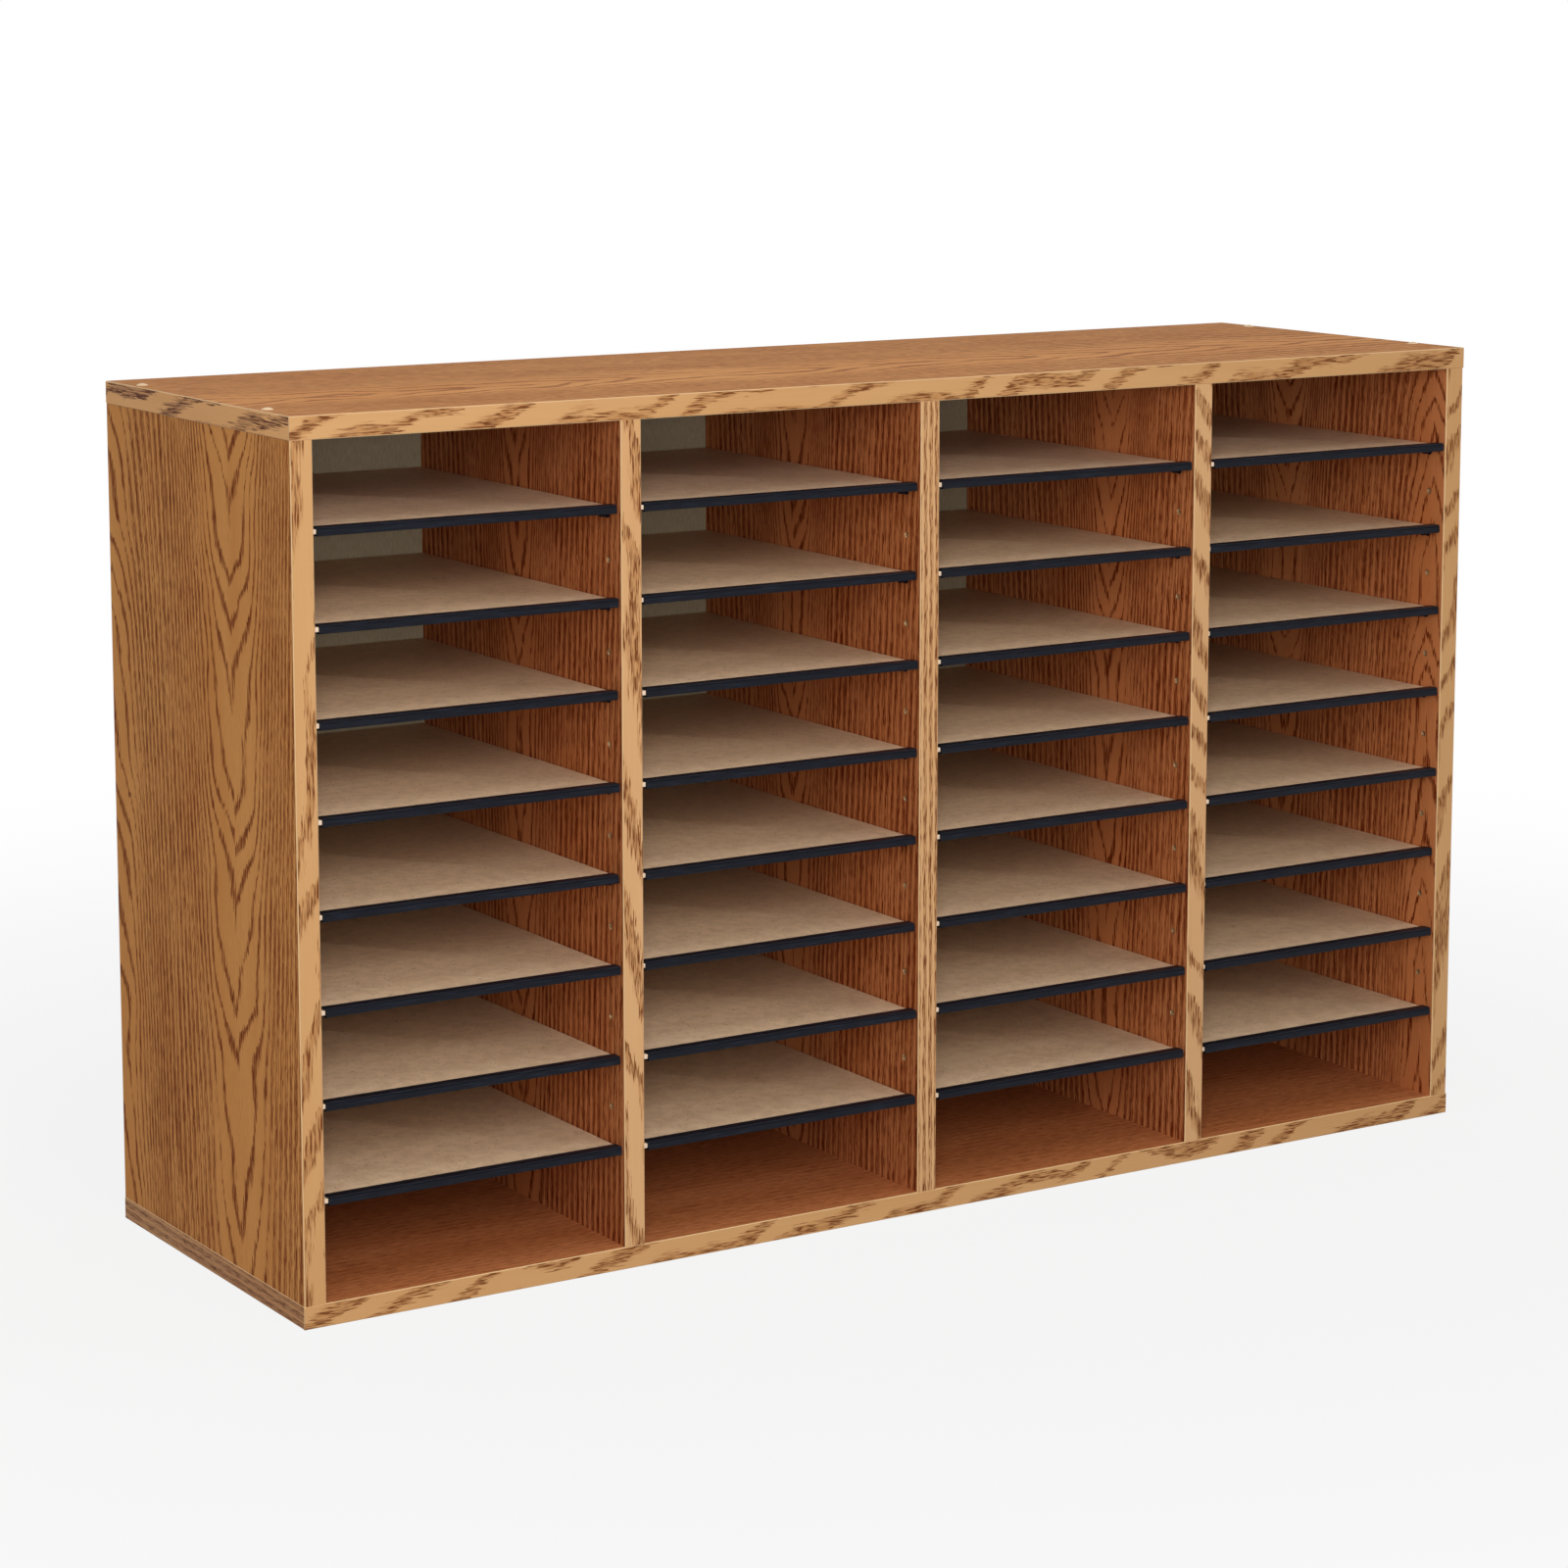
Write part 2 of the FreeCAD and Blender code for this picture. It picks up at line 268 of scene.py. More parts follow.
# Shares that grow where the lines are straight: by how much, and the share at a heart
STREAK_LEFT = (0.1, 0.55)
OPEN_GRAIN = (0.7, 0.3)
STRIPES = (0.4, 0.35)

# The ground between deep, 0, and light, 1: contrast and middle of its patches, what straight grain
# adds to it, and the contrast of its stripes
PATCHES = (1.3, 0.64)
STRAIGHT_TONE = 0.12
STRIPE_CONTRAST = 1.5

# Noise layers: the width and length of their bumps in millimetres, and their detail. The flank layer is
# read at 1 or -1 across, so that it differs between the two sides of a heart
FIGURE_NOISE = {
    "wander": (64.0, 150.0, 1.0),
    "crinkle": (13.0, 46.0, 2.0),
    "flank": (9.0, 105.0, 1.0),
    "ragged": (1.2, 18.0, 2.0),
    "swelling": (30.0, 70.0, 1.0),
    "breaks": (1.1, 16.0, 1.0),
    "patches": (38.0, 260.0, 2.0),
    "stripes": (1.6, 50.0, 3.0),
}


def cores(w, given, share):
    """A length that is a share of Core."""
    return w.calc("MULTIPLY", given["Core"], share)


def layer(w, given, name):
    """One noise layer of the figure, from -0.5 to 0.5."""
    return w.stretched(given["Across"], given["Along"], given["Seed"], *FIGURE_NOISE[name])


def nearest_heart(w, given):
    """The signed distance from the nearest heart, and 1 at every second heart but 0 at the others."""
    offset = w.calc("SUBTRACT", given["Across"], given["Heart"])
    cell = w.calc("ROUND", w.calc("DIVIDE", offset, given["Repeat"]))
    near = w.calc("SUBTRACT", offset, w.calc("MULTIPLY", cell, given["Repeat"]))
    return near, w.calc("MODULO", w.calc("ABSOLUTE", cell), 2.0)


def distance_from_heart(w, given, near, calm):
    """U: the distance once the lines wander and crinkle, with a rounded tip at the heart."""
    wander = w.calc("MULTIPLY", layer(w, given, "wander"), cores(w, given, WANDER))
    crinkle = w.calc("MULTIPLY", layer(w, given, "crinkle"), cores(w, given, CRINKLE))
    shift = w.calc("MULTIPLY", w.calc("ADD", wander, crinkle), calm)
    shifted = w.calc("ADD", near, shift)
    squared = w.calc("MULTIPLY_ADD", shifted, shifted, TIP_ROUND)
    return w.calc("SUBTRACT", w.calc("SQRT", squared), TIP_DROP)


def climb(w, given, distance, gentle, gain):
    """C: a distance in lines. Inside Core one line takes Spread, and outside it takes Line."""
    beyond = w.calc("SUBTRACT", distance, given["Core"])
    knee = w.calc("POWER", cores(w, given, KNEE), 2.0)
    softened = w.calc("SQRT", w.calc("MULTIPLY_ADD", beyond, beyond, knee))
    outer = w.calc("MULTIPLY", w.calc("ADD", beyond, softened), gain)
    return w.calc("MULTIPLY_ADD", distance, gentle, outer)


def growth_lines(w, given, near, odd, calm):
    """The formula of the figure, with slightly ragged lines: a line lies where it is whole."""
    along = given["Along"]
    steep = w.calc("DIVIDE", 1.0, given["Line"])
    gentle = w.calc("DIVIDE", 1.0, given["Spread"])
    gain = w.calc("MULTIPLY", w.calc("SUBTRACT", steep, gentle), 0.5)
    reach = distance_from_heart(w, given, near, calm)
    half_way = climb(w, given, w.calc("MULTIPLY", given["Repeat"], 0.5), gentle, gain)
    way = w.calc("SUBTRACT", 1.0, w.calc("MULTIPLY", odd, 2.0))
    climbed = w.calc("SUBTRACT", climb(w, given, reach, gentle, gain), half_way)

    flank = w.stretched(w.calc("SIGN", near), along, given["Seed"], *FIGURE_NOISE["flank"])
    uneven = w.calc("MULTIPLY", w.calc("MULTIPLY", flank, UNEVENNESS), calm)
    crowded = w.calc("MULTIPLY_ADD", w.calc("MULTIPLY", along, along), given["Crowd"], uneven)
    rise = w.calc("ADD", w.calc("DIVIDE", along, given["Arch"]), crowded)

    pivot = w.calc("MULTIPLY", odd, ARCHES)
    lean = w.slope(reach, cores(w, given, LEAN_START), cores(w, given, LEAN_END), 1.0, FAR_SHARE)
    leaning = w.calc("MULTIPLY", w.calc("SUBTRACT", rise, pivot), lean)
    leant = w.calc("MULTIPLY_ADD", pivot, FAR_SHARE, leaning)
    ragged = w.calc("MULTIPLY", layer(w, given, "ragged"), RAGGEDNESS)
    return w.calc("ADD", w.calc("SUBTRACT", w.calc("MULTIPLY", climbed, way), leant), ragged)


def dark_bands(w, given, lines):
    """A dark band after each line: it starts sharply, fades out, and swells here and there."""
    share = w.calc("FRACT", lines)
    swollen = w.calc("MULTIPLY_ADD", layer(w, given, "swelling"), SWELLING, given["Breadth"])
    breadth = w.calc("MAXIMUM", swollen, THINNEST_BAND)
    starts = w.slope(share, 0.0, BAND_START)
    fades = w.slope(share, w.calc("MULTIPLY", breadth, BAND_FADE), breadth, 1.0, 0.0)
    return w.calc("MULTIPLY", starts, fades)


def streaks(w, given, lines, bands, straight):
    """The bands, with thin threads between them where they run straight, broken up by small gaps."""
    between = w.calc("FRACT", w.calc("MULTIPLY_ADD", lines, THREADS, THREAD_OFFSET))
    starts, fades = w.slope(between, 0.0, THREAD_START), w.slope(between, *THREAD_FADE, 1.0, 0.0)
    thread = w.calc("MULTIPLY", starts, fades)
    threads = w.calc("MULTIPLY", w.calc("MULTIPLY", thread, straight), THREAD_WEIGHT)
    unbroken = w.slope(layer(w, given, "breaks"), *UNBROKEN_LEVELS)
    left = w.calc("MULTIPLY_ADD", straight, *STREAK_LEFT)
    return w.calc("MULTIPLY", w.calc("MAXIMUM", bands, threads), w.calc("MAXIMUM", unbroken, left))


def pores(w, given, bands, straight):
    """Short dashes along the grain, mostly inside the bands at a heart and all over further out."""
    dashes = w.stretched(given["Across"], given["Along"], given["Seed"], given["Fine"], given["Pore"], 1.0)
    open_grain = w.calc("MULTIPLY_ADD", straight, *OPEN_GRAIN)
    return w.calc("MULTIPLY", w.slope(dashes, *PORE_LEVELS), w.calc("MAXIMUM", open_grain, bands))


def ground_tone(w, given, straight):
    """Broad patches and fine stripes between deep and light. The stripes show most further out."""
    strength = w.calc("MULTIPLY_ADD", straight, *STRIPES)
    stripes = w.calc("MULTIPLY", layer(w, given, "stripes"), strength)
    patches = w.calc("MULTIPLY_ADD", layer(w, given, "patches"), *PATCHES)
    tone = w.calc("MULTIPLY_ADD", straight, STRAIGHT_TONE, patches)
    return w.calc("ADD", tone, w.calc("MULTIPLY", stripes, STRIPE_CONTRAST))


def oak_figure():
    """A group for the figure of flat-sawn oak: its dark streaks, its pores and its ground tone.

    Across the board stand hearts, Repeat apart. With U the distance from the nearest one, V the place
    along the grain, and way +1 or -1 by turns, the lines lie where
    way * (C(U) - C(Repeat / 2)) - (K(V) - P) * F(U) - P * FAR_SHARE
    is whole. C rises slowly within Core of a heart, so that the lines arch there, and steeply further
    out, where they run almost straight. K = V / Arch + V * V * Crowd sets the arches closer together as
    V grows, and its noise shifts the two flanks of an arch against each other. F falls from 1 at a heart
    to FAR_SHARE, so that the straight lines lean less than the arches do. P is 0 where way is 1 and
    ARCHES where it is -1, which keeps every arch pointing away from its own end.
    """
    inputs = numbers("Across", "Along", "Heart", "Core", "Repeat", "Arch", "Crowd", "Spread", "Line",
                     "Breadth", "Pore", "Fine", "Seed")
    w, given, result = new_group("oak figure", inputs, numbers("Streak", "Dash", "Tone"))
    near, odd = nearest_heart(w, given)
    aside = w.calc("ABSOLUTE", near)
    straight = w.slope(aside, cores(w, given, STRAIGHT_START), cores(w, given, STRAIGHT_END))
    calm = w.calc("MULTIPLY_ADD", straight, -STEADINESS, 1.0)
    lines = growth_lines(w, given, near, odd, calm)
    bands = dark_bands(w, given, lines)
    w.join(result["Streak"], streaks(w, given, lines, bands, straight))
    w.join(result["Dash"], pores(w, given, bands, straight))
    w.join(result["Tone"], ground_tone(w, given, straight))
    return w.tree


# Other effects that several finishes share

# Chips: how many to a millimetre, how far from a chip's middle its dark gap begins and ends, in shares
# of a chip, and how dark the gap gets
FLAKES_PER_MM = 0.55
GAP_EDGE = (0.35, 0.75)
GAP_DARKNESS = 0.6

# Hardboard, in millimetres: the size of its clouds and specks, and of the fibres that lie each way.
# SECOND_MAT is how far away in the noise the crosswise fibres lie, so that the two ways differ
CLOUD_SIZE = (9.0, 9.0, 9.0)
SPECK_SIZE = (1.7, 1.7, 1.0)
FIBRES_ALONG_X = (3.2, 0.9)
FIBRES_ALONG_Y = (1.0, 2.8)
SECOND_MAT = 40.0
SPECK_LEVELS = (0.76, 0.84)


def chipboard():
    """Pressed wood chips: pale flakes of mixed tones with dark gaps between them."""
    w, given, result = new_group("chipboard", numbers("X", "Y", "Z"), {"Color": COLOUR, "Height": NUMBER})
    place = w.point(given["X"], given["Y"], given["Z"])
    flakes = w.add("ShaderNodeTexVoronoi", {"Vector": place, "Scale": FLAKES_PER_MM, "Randomness": 1.0})
    tone = w.add("ShaderNodeSeparateColor", {"Color": flakes.outputs["Color"]}).outputs[0]
    gaps = w.slope(flakes.outputs["Distance"], *GAP_EDGE)
    pale = w.blend(tone, paint(214, 178, 132), paint(176, 132, 88))
    w.join(result["Color"], w.blend(w.calc("MULTIPLY", gaps, GAP_DARKNESS), pale, paint(112, 78, 48)))
    w.join(result["Height"], w.calc("SUBTRACT", tone, gaps))
    return w.tree


def pressed_fibre():
    """Hardboard: short matted fibres, cloudy patches, and a few dark specks."""
    w, given, result = new_group("pressed fibre", numbers("X", "Y", "Z"), numbers("Cloud", "Fibre", "Speck"))
    x, y, z = given["X"], given["Y"], given["Z"]
    lengthwise = w.stretched(x, y, z, *FIBRES_ALONG_X, 3.0)
    crosswise = w.stretched(x, y, w.calc("ADD", z, SECOND_MAT), *FIBRES_ALONG_Y, 3.0)
    specks = w.bumps((x, y, z), SPECK_SIZE, 0.0)
    w.join(result["Cloud"], w.bumps((x, y, z), CLOUD_SIZE, 5.0))
    w.join(result["Fibre"], w.calc("ADD", w.calc("ADD", lengthwise, crosswise), 0.5))
    w.join(result["Speck"], w.slope(specks, *SPECK_LEVELS))
    return w.tree


OAK_FIGURE = oak_figure()
CHIPBOARD = chipboard()
PRESSED_FIBRE = pressed_fibre()


# Tones. Smear and the two dashes say how strongly streaks and pores colour the ground

# Painted shade: faces that look into the compartments have their print multiplied by this, darker and
# redder, for the shade and reddish bounce light inside the case
PAINTED_INNER_SHADE = (0.77, 0.62, 0.76, 1.0)
BOARD_TONES = {
    "light": paint(226, 160, 92),
    "deep": paint(204, 132, 66),
    "streak": paint(130, 54, 12),
    "pore": paint(104, 42, 12),
    "smear": 0.95,
    "dash_in_streak": 0.8,
    "dash_between": 0.22,
}
TOP_TONES = dict(BOARD_TONES, smear=0.68, dash_in_streak=0.55, dash_between=0.28)
BASE_TONES = dict(BOARD_TONES, smear=0.45, dash_in_streak=0.55, dash_between=0.3)
BAND_TONES = {
    "light": paint(204, 158, 108),
    "deep": paint(194, 144, 92),
    "streak": paint(164, 108, 58),
    "pore": paint(112, 62, 28),
    # Colour of the bevels: the band's plain core, and also a painted highlight along them
    "core_and_highlight": paint(222, 184, 136),
    "smear": 0.62,
    "dash_in_streak": 1.0,
    "dash_between": 0.0,
}
DIVIDER_BAND_TONES = dict(BAND_TONES, light=paint(211, 166, 119), deep=paint(201, 152, 102))
TOP_END_TONES = dict(BAND_TONES, light=paint(238, 178, 112), deep=paint(220, 156, 88),
                     streak=paint(140, 84, 40), pore=paint(96, 46, 18))
BASE_END_TONES = dict(BAND_TONES, light=paint(196, 140, 82), deep=paint(166, 106, 56), smear=0.9)


# Finishes

# How strongly a surface reflects: the boards' film, the film on top, all plastic, and the shelves
BOARD_GLOSS = 0.02
TOP_GLOSS = 0.008
PLASTIC_GLOSS = 0.12
HARDBOARD_GLOSS = 0.4

# Roughness, from the smoothest place to the roughest, and what wear adds to that of plastic
FILM_ROUGHNESS = (0.46, 0.62)
BAND_ROUGHNESS = (0.40, 0.58)
SHELF_ROUGHNESS = (0.5, 0.62)
ZINC_ROUGHNESS = (0.28, 0.46)
WORN_ROUGHER = 0.14

# Bumps: their strength, and their full height in metres
BOARD_BUMP = (0.5, 0.4 * MM)
BAND_BUMP = (0.4, 0.3 * MM)
LINING_BUMP = (0.25, 0.2 * MM)
SHELF_BUMP = (0.15, 0.15 * MM)
PLASTIC_BUMP = (0.2, 0.1 * MM)

# Relief of chips and pores, in shares of that height
CHIP_RELIEF = 0.6
PORE_DEPTH = 0.12
BAND_PORE_DEPTH = 0.1

# Patches and flecks: their sizes along x, y and z in millimetres
RUBBED_PATCH = (17.0, 3.0, 1.0)
PLASTIC_GRAIN = (0.5, 0.5, 0.5)
ZINC_PATCH = (1.4, 1.4, 1.4)
BEECH_FLECK = (0.4, 0.4, 3.0)


def finish(name, **constants):
    """A material with one Principled shader. Constants are set on the shader's own sockets."""
    material = bpy.data.materials.new(name)
    material.use_nodes = True
    w = Wiring(material.node_tree)
    shader = material.node_tree.nodes["Principled BSDF"]
    for label, value in constants.items():
        shader.inputs[label.replace("_", " ")].default_value = value
    return material, w, shader.inputs


def bump(w, height, strength, distance):
    """A normal raised by height, which counts in shares of distance."""
    inputs = {"Strength": strength, "Distance": distance, "Height": height}
    return w.add("ShaderNodeBump", inputs).outputs["Normal"]


def oak_print(w, axes, figure, tones):
    """The printed oak film: its colour and the mask of its pores."""
    across, along = (w.here()[axis] for axis in axes)
    marks = w.group(OAK_FIGURE, Across=across, Along=along, **figure)
    ground = w.blend(marks["Tone"], tones["deep"], tones["light"])
    smear = w.calc("MULTIPLY", marks["Streak"], tones["smear"])
    stained = w.blend(smear, ground, tones["streak"])
    in_streak = w.calc("MULTIPLY", marks["Streak"], tones["dash_in_streak"])
    everywhere = w.calc("MAXIMUM", in_streak, tones["dash_between"])
    pore = w.calc("MULTIPLY", marks["Dash"], everywhere)
    return w.blend(pore, stained, tones["pore"]), pore


def oak_board(node, axes, through, outside, tones, figure, gloss=BOARD_GLOSS):
    """A board of chips with oak film on its two faces; its edges and bored holes show the chips.

    Outside is the way that its outer face looks along the through axis, +1 or -1, or 0 where both faces
    look into compartments. A face inside the case has its print darkened and reddened as painted shade,
    standing in for the shade and reddish bounce light inside the compartments.
    """
    material, w, shader = finish("oak_" + node, Specular_IOR_Level=gloss)
    printed, pore = oak_print(w, axes, figure, tones)
    here = w.here()
    low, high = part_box(node)
    index = "XYZ".index(through)
    middle = (low[index] + high[index]) / 2 / MM
    half = (high[index] - low[index]) / 2 / MM
    from_middle = w.calc("SUBTRACT", here[through], middle)
    outer = w.calc("GREATER_THAN", w.calc("MULTIPLY", from_middle, outside), 0.0)
    film = w.calc("GREATER_THAN", w.calc("ABSOLUTE", from_middle), half - LAMINATE / MM)
    chips = w.group(CHIPBOARD, X=here["X"], Y=here["Y"], Z=here["Z"])
    # Painted shade: the print darkened and reddened on faces inside the case
    shaded_print = w.tint(printed, PAINTED_INNER_SHADE)
    w.join(shader["Base Color"], w.blend(film, chips["Color"], w.blend(outer, shaded_print, printed)))
    w.join(shader["Roughness"], w.ramp(pore, *FILM_ROUGHNESS))
    relief = w.calc("MULTIPLY", w.calc("SUBTRACT", film, 1.0), -CHIP_RELIEF)
    sunk = w.calc("MULTIPLY", pore, PORE_DEPTH)
    height = w.calc("SUBTRACT", w.calc("MULTIPLY", chips["Height"], relief), sunk)
    w.join(shader["Normal"], bump(w, height, *BOARD_BUMP))
    return material


def edge_band(node, axes, outward, face, tones, figure):
    """A plastic edge band: the print lies on its outer face, and its bevels are lighter: partly the band's
    plain core, partly a painted highlight along the bevels.
    """
    material, w, shader = finish("band_" + node, Specular_IOR_Level=PLASTIC_GLOSS)
    printed, pore = oak_print(w, axes, figure, tones)
    depth = w.calc("SUBTRACT", face / MM, w.calc("ABSOLUTE", w.here()[outward]))
    # Bared core and painted highlight: the bevels get the lighter colour
    bared_core_and_highlight = w.slope(depth, 0.0, BAND_SKIN / MM)
    w.join(shader["Base Color"], w.blend(bared_core_and_highlight, printed, tones["core_and_highlight"]))
    w.join(shader["Roughness"], w.ramp(pore, *BAND_ROUGHNESS))
    w.join(shader["Normal"], bump(w, w.calc("MULTIPLY", pore, -BAND_PORE_DEPTH), *BAND_BUMP))
    return material


def back_hardboard():
    """Hardboard lined with cream paper towards the compartments, and bare brown behind."""
    material, w, shader = finish("back_hardboard", Roughness=0.7)
    here = w.here()
    fibre = w.group(PRESSED_FIBRE, X=here["X"], Y=here["Z"], Z=here["Y"])
    low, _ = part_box("back_panel")
    lining = w.calc("LESS_THAN", here["Y"], (low.y + LAMINATE) / MM)
    threads = w.stretched(here["X"], here["Z"], seed=4.0, wide=0.9, long=7.0, detail=2.0)
    linen = w.slope(threads, -0.3, 0.3)
    cream = w.blend(linen, paint(138, 124, 98), paint(160, 146, 118))
    smooth = w.blend(fibre["Fibre"], paint(112, 78, 50), paint(150, 110, 74))
    clouds = w.slope(fibre["Cloud"], 0.35, 0.7, high=0.55)
    brown = w.blend(clouds, smooth, paint(166, 128, 90))
    w.join(shader["Base Color"], w.blend(lining, brown, cream))
    w.join(shader["Normal"], bump(w, fibre["Fibre"], *LINING_BUMP))
    return material


def shelf_hardboard():
    """Smooth tan hardboard with matted fibres. Its sawn rim is pale."""
    material, w, shader = finish("shelf_hardboard", Specular_IOR_Level=HARDBOARD_GLOSS)
    here = w.here()
    fibre = w.group(PRESSED_FIBRE, X=here["X"], Y=here["Y"], Z=here["Z"])
    patches = w.slope(fibre["Cloud"], 0.3, 0.7)
    cloudy = w.blend(patches, paint(202, 169, 134), paint(224, 193, 158))
    strands = w.slope(fibre["Fibre"], 0.1, 0.9, high=0.6)
    matted = w.blend(strands, cloudy, paint(232, 206, 174))
    specked = w.blend(w.calc("MULTIPLY", fibre["Speck"], 0.7), matted, paint(88, 60, 40))
    rim = w.add("ShaderNodeAttribute", attribute_name="sawn_rim").outputs["Fac"]
    w.join(shader["Base Color"], w.blend(rim, specked, paint(232, 208, 182)))
    w.join(shader["Roughness"], w.slope(fibre["Cloud"], 0.3, 0.7, *SHELF_ROUGHNESS))
    w.join(shader["Normal"], bump(w, fibre["Fibre"], *SHELF_BUMP))
    return material


def moulded_plastic(name, colour, worn, roughness):
    """Extruded or moulded plastic with a faint grain and slightly worn, greyer patches."""
    material, w, shader = finish(name, Specular_IOR_Level=PLASTIC_GLOSS)
    here = w.here()
    rubbed = w.slope(w.bumps(here, RUBBED_PATCH), 0.45, 0.8)
    w.join(shader["Base Color"], w.blend(rubbed, colour, worn))
    w.join(shader["Roughness"], w.ramp(rubbed, roughness, roughness + WORN_ROUGHER))
    w.join(shader["Normal"], bump(w, w.bumps(here, PLASTIC_GRAIN), *PLASTIC_BUMP))
    return material


def zinc_steel():
    """Zinc-plated steel with patchy brightness."""
    material, w, shader = finish("zinc_steel", Metallic=1.0)
    patches = w.bumps(w.here(), ZINC_PATCH, 3.0)
    w.join(shader["Base Color"], w.blend(patches, paint(150, 152, 156), paint(206, 208, 210)))
    w.join(shader["Roughness"], w.slope(patches, 0.3, 0.7, *ZINC_ROUGHNESS))
    return material


def dowel_wood():
    """Turned beech with short flecks along its length."""
    material, w, shader = finish("dowel_wood", Roughness=0.6)
    flecks = w.bumps(w.here(), BEECH_FLECK)
    w.join(shader["Base Color"], w.blend(flecks, paint(190, 146, 100), paint(226, 190, 146)))
    return material


# Shapes

def new_piece(name, corners, faces, material):
    """A mesh object at the origin with its place in its mesh."""
    mesh = bpy.data.meshes.new(name)
    mesh.from_pydata(corners.tolist(), [], faces)
    mesh.materials.append(material)
    mesh.update()
    piece = bpy.data.objects.new(name, mesh)
    bpy.context.scene.collection.objects.link(piece)
    return piece


def tube_faces(rings, around):
    """Quads between neighbouring closed rings of points, and one face over each end."""
    ring, step = np.meshgrid(np.arange(rings - 1), np.arange(around), indexing="ij")
    following = (step + 1) % around
    quads = np.stack([ring * around + step, ring * around + following,
                      (ring + 1) * around + following, (ring + 1) * around + step], axis=-1)
    first = list(range(around))[::-1]
    last = list(range((rings - 1) * around, rings * around))
    return quads.reshape(-1, 4).tolist() + [first, last]


def rounded(corners, radii, steps=4):
    """A closed outline whose corners are arcs: each is a quadratic curve from radius before it to
    radius after it, with the corner itself as the middle control point."""
    points = np.array(corners, float)
    before = np.roll(points, 1, axis=0) - points
    after = np.roll(points, -1, axis=0) - points
    before /= np.linalg.norm(before, axis=1, keepdims=True)
    after /= np.linalg.norm(after, axis=1, keepdims=True)
    reach = np.array(radii, float)[:, None]
    t = np.linspace(0, 1, steps + 1)[None, :, None]
    start, end = points + before * reach, points + after * reach
    arcs = (1 - t) ** 2 * start[:, None] + 2 * t * (1 - t) * points[:, None] + t ** 2 * end[:, None]
    return arcs.reshape(-1, 2)


def shelf_board(name, low, high, material):
    """A thin sheet: rings of a rounded rectangle, drawn in by the rim's easing at top and bottom.

    Ring k is the outline moved in by inset(k) at height(k), where both follow a quarter circle.
    """
    turn = np.linspace(0, math.pi / 2, EASE_POINTS)
    from_side, from_face = BOARD_EASE * (1 - np.sin(turn)), BOARD_EASE * (1 - np.cos(turn))
    inset = np.concatenate([from_side, from_face])
    height = np.concatenate([from_face, high[2] - low[2] - from_side])
    centre = (np.array(low[:2]) + np.array(high[:2])) / 2
    half = (np.array(high[:2]) - np.array(low[:2])) / 2
    signs = np.array([(-1, -1), (1, -1), (1, 1), (-1, 1)])
    rings = []
    for drawn_in, z in zip(inset, height):
        outline = rounded(centre + signs * (half - drawn_in), [BOARD_CORNER] * len(signs))
        rings.append(np.column_stack([outline, np.full(len(outline), low[2] + z)]))
    around = len(rings[0])
    piece = new_piece(name, np.concatenate(rings), tube_faces(len(rings), around), material)
    rim = piece.data.attributes.new("sawn_rim", "FLOAT", "POINT")
    sawn = np.repeat(inset < BOARD_EASE * SAWN_SHARE, around)
    rim.data.foreach_set("value", sawn.astype(np.float32))
    return piece


def moulding_outline(front, low, board_low, board_high, high):
    """The channel's section as (y, z) points: rounded face, stepped top and two lips."""
    inner, deep, step = front + MOULDING_FACE, front + MOULDING_DEEP, front + MOULDING_STEP
    slant = front + MOULDING_STEP * GROOVE_SLANT

    # Each turn is a corner of the section with its radius
    turns = [
        (front, low, MOULDING_ROUND * 1.6),
        (deep, low, MOULDING_ROUND * 0.8),
        (deep, board_low, MOULDING_ROUND * 0.5),
        (inner, board_low, CHANNEL_CORNER),
        (inner, board_high, CHANNEL_CORNER),
        (deep, board_high, MOULDING_ROUND * 0.5),
        (deep, high, MOULDING_ROUND * 0.8),
        (step, high, MOULDING_ROUND),
        (step, board_high + MOULDING_GROOVE, GROOVE_CORNER),
        (slant, board_high, GROOVE_CORNER),
        (front, board_high - MOULDING_GROOVE, MOULDING_ROUND * 0.6),
    ]
    return rounded([(y, z) for y, z, _ in turns], [radius for _, _, radius in turns])


def shelf_moulding(name, low, high, material):
    """A channel: its section, carried along X between two ends that close it."""
    board_low, board_high = low[2] + MOULDING_LIP, high[2] - MOULDING_LIP
    section = moulding_outline(low[1], low[2], board_low, board_high, high[2])
    ends = np.array([low[0] + MOULDING_SHORT[0], high[0] - MOULDING_SHORT[1]])
    corners = np.column_stack([np.repeat(ends, len(section)), np.tile(section, (len(ends), 1))])
    return new_piece(name, corners, tube_faces(len(ends), len(section)), material)


def shade_smooth_by_angle(piece, degrees=40):
    piece.data.polygons.foreach_set("use_smooth", [True] * len(piece.data.polygons))
    piece.data.set_sharp_from_angle(angle=math.radians(degrees))


def add_shelves(board_finish, moulding_finish):
    """Each shelf of the frame becomes a sheet and a moulding that ride on that shelf's body."""
    for column in COLUMNS:
        for row in ROWS:
            node = "shelf_%d_%d" % (column, row)
            low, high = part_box(node)
            sheet_low = (low.x, low.y + MOULDING_FACE, low.z + MOULDING_LIP)
            sheet_high = (high.x, high.y, high.z - MOULDING_LIP)
            board = shelf_board(node + "_board", sheet_low, sheet_high, board_finish)
            moulding = shelf_moulding(node + "_moulding", low, high, moulding_finish)
            for piece, slot in ((board, "shelf_hardboard"), (moulding, "black_plastic")):
                shade_smooth_by_angle(piece)
                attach(piece, node)
                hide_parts(node)


# The case's own nodes

def dress(node, material):
    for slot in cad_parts[node].material_slots:
        slot.material = material


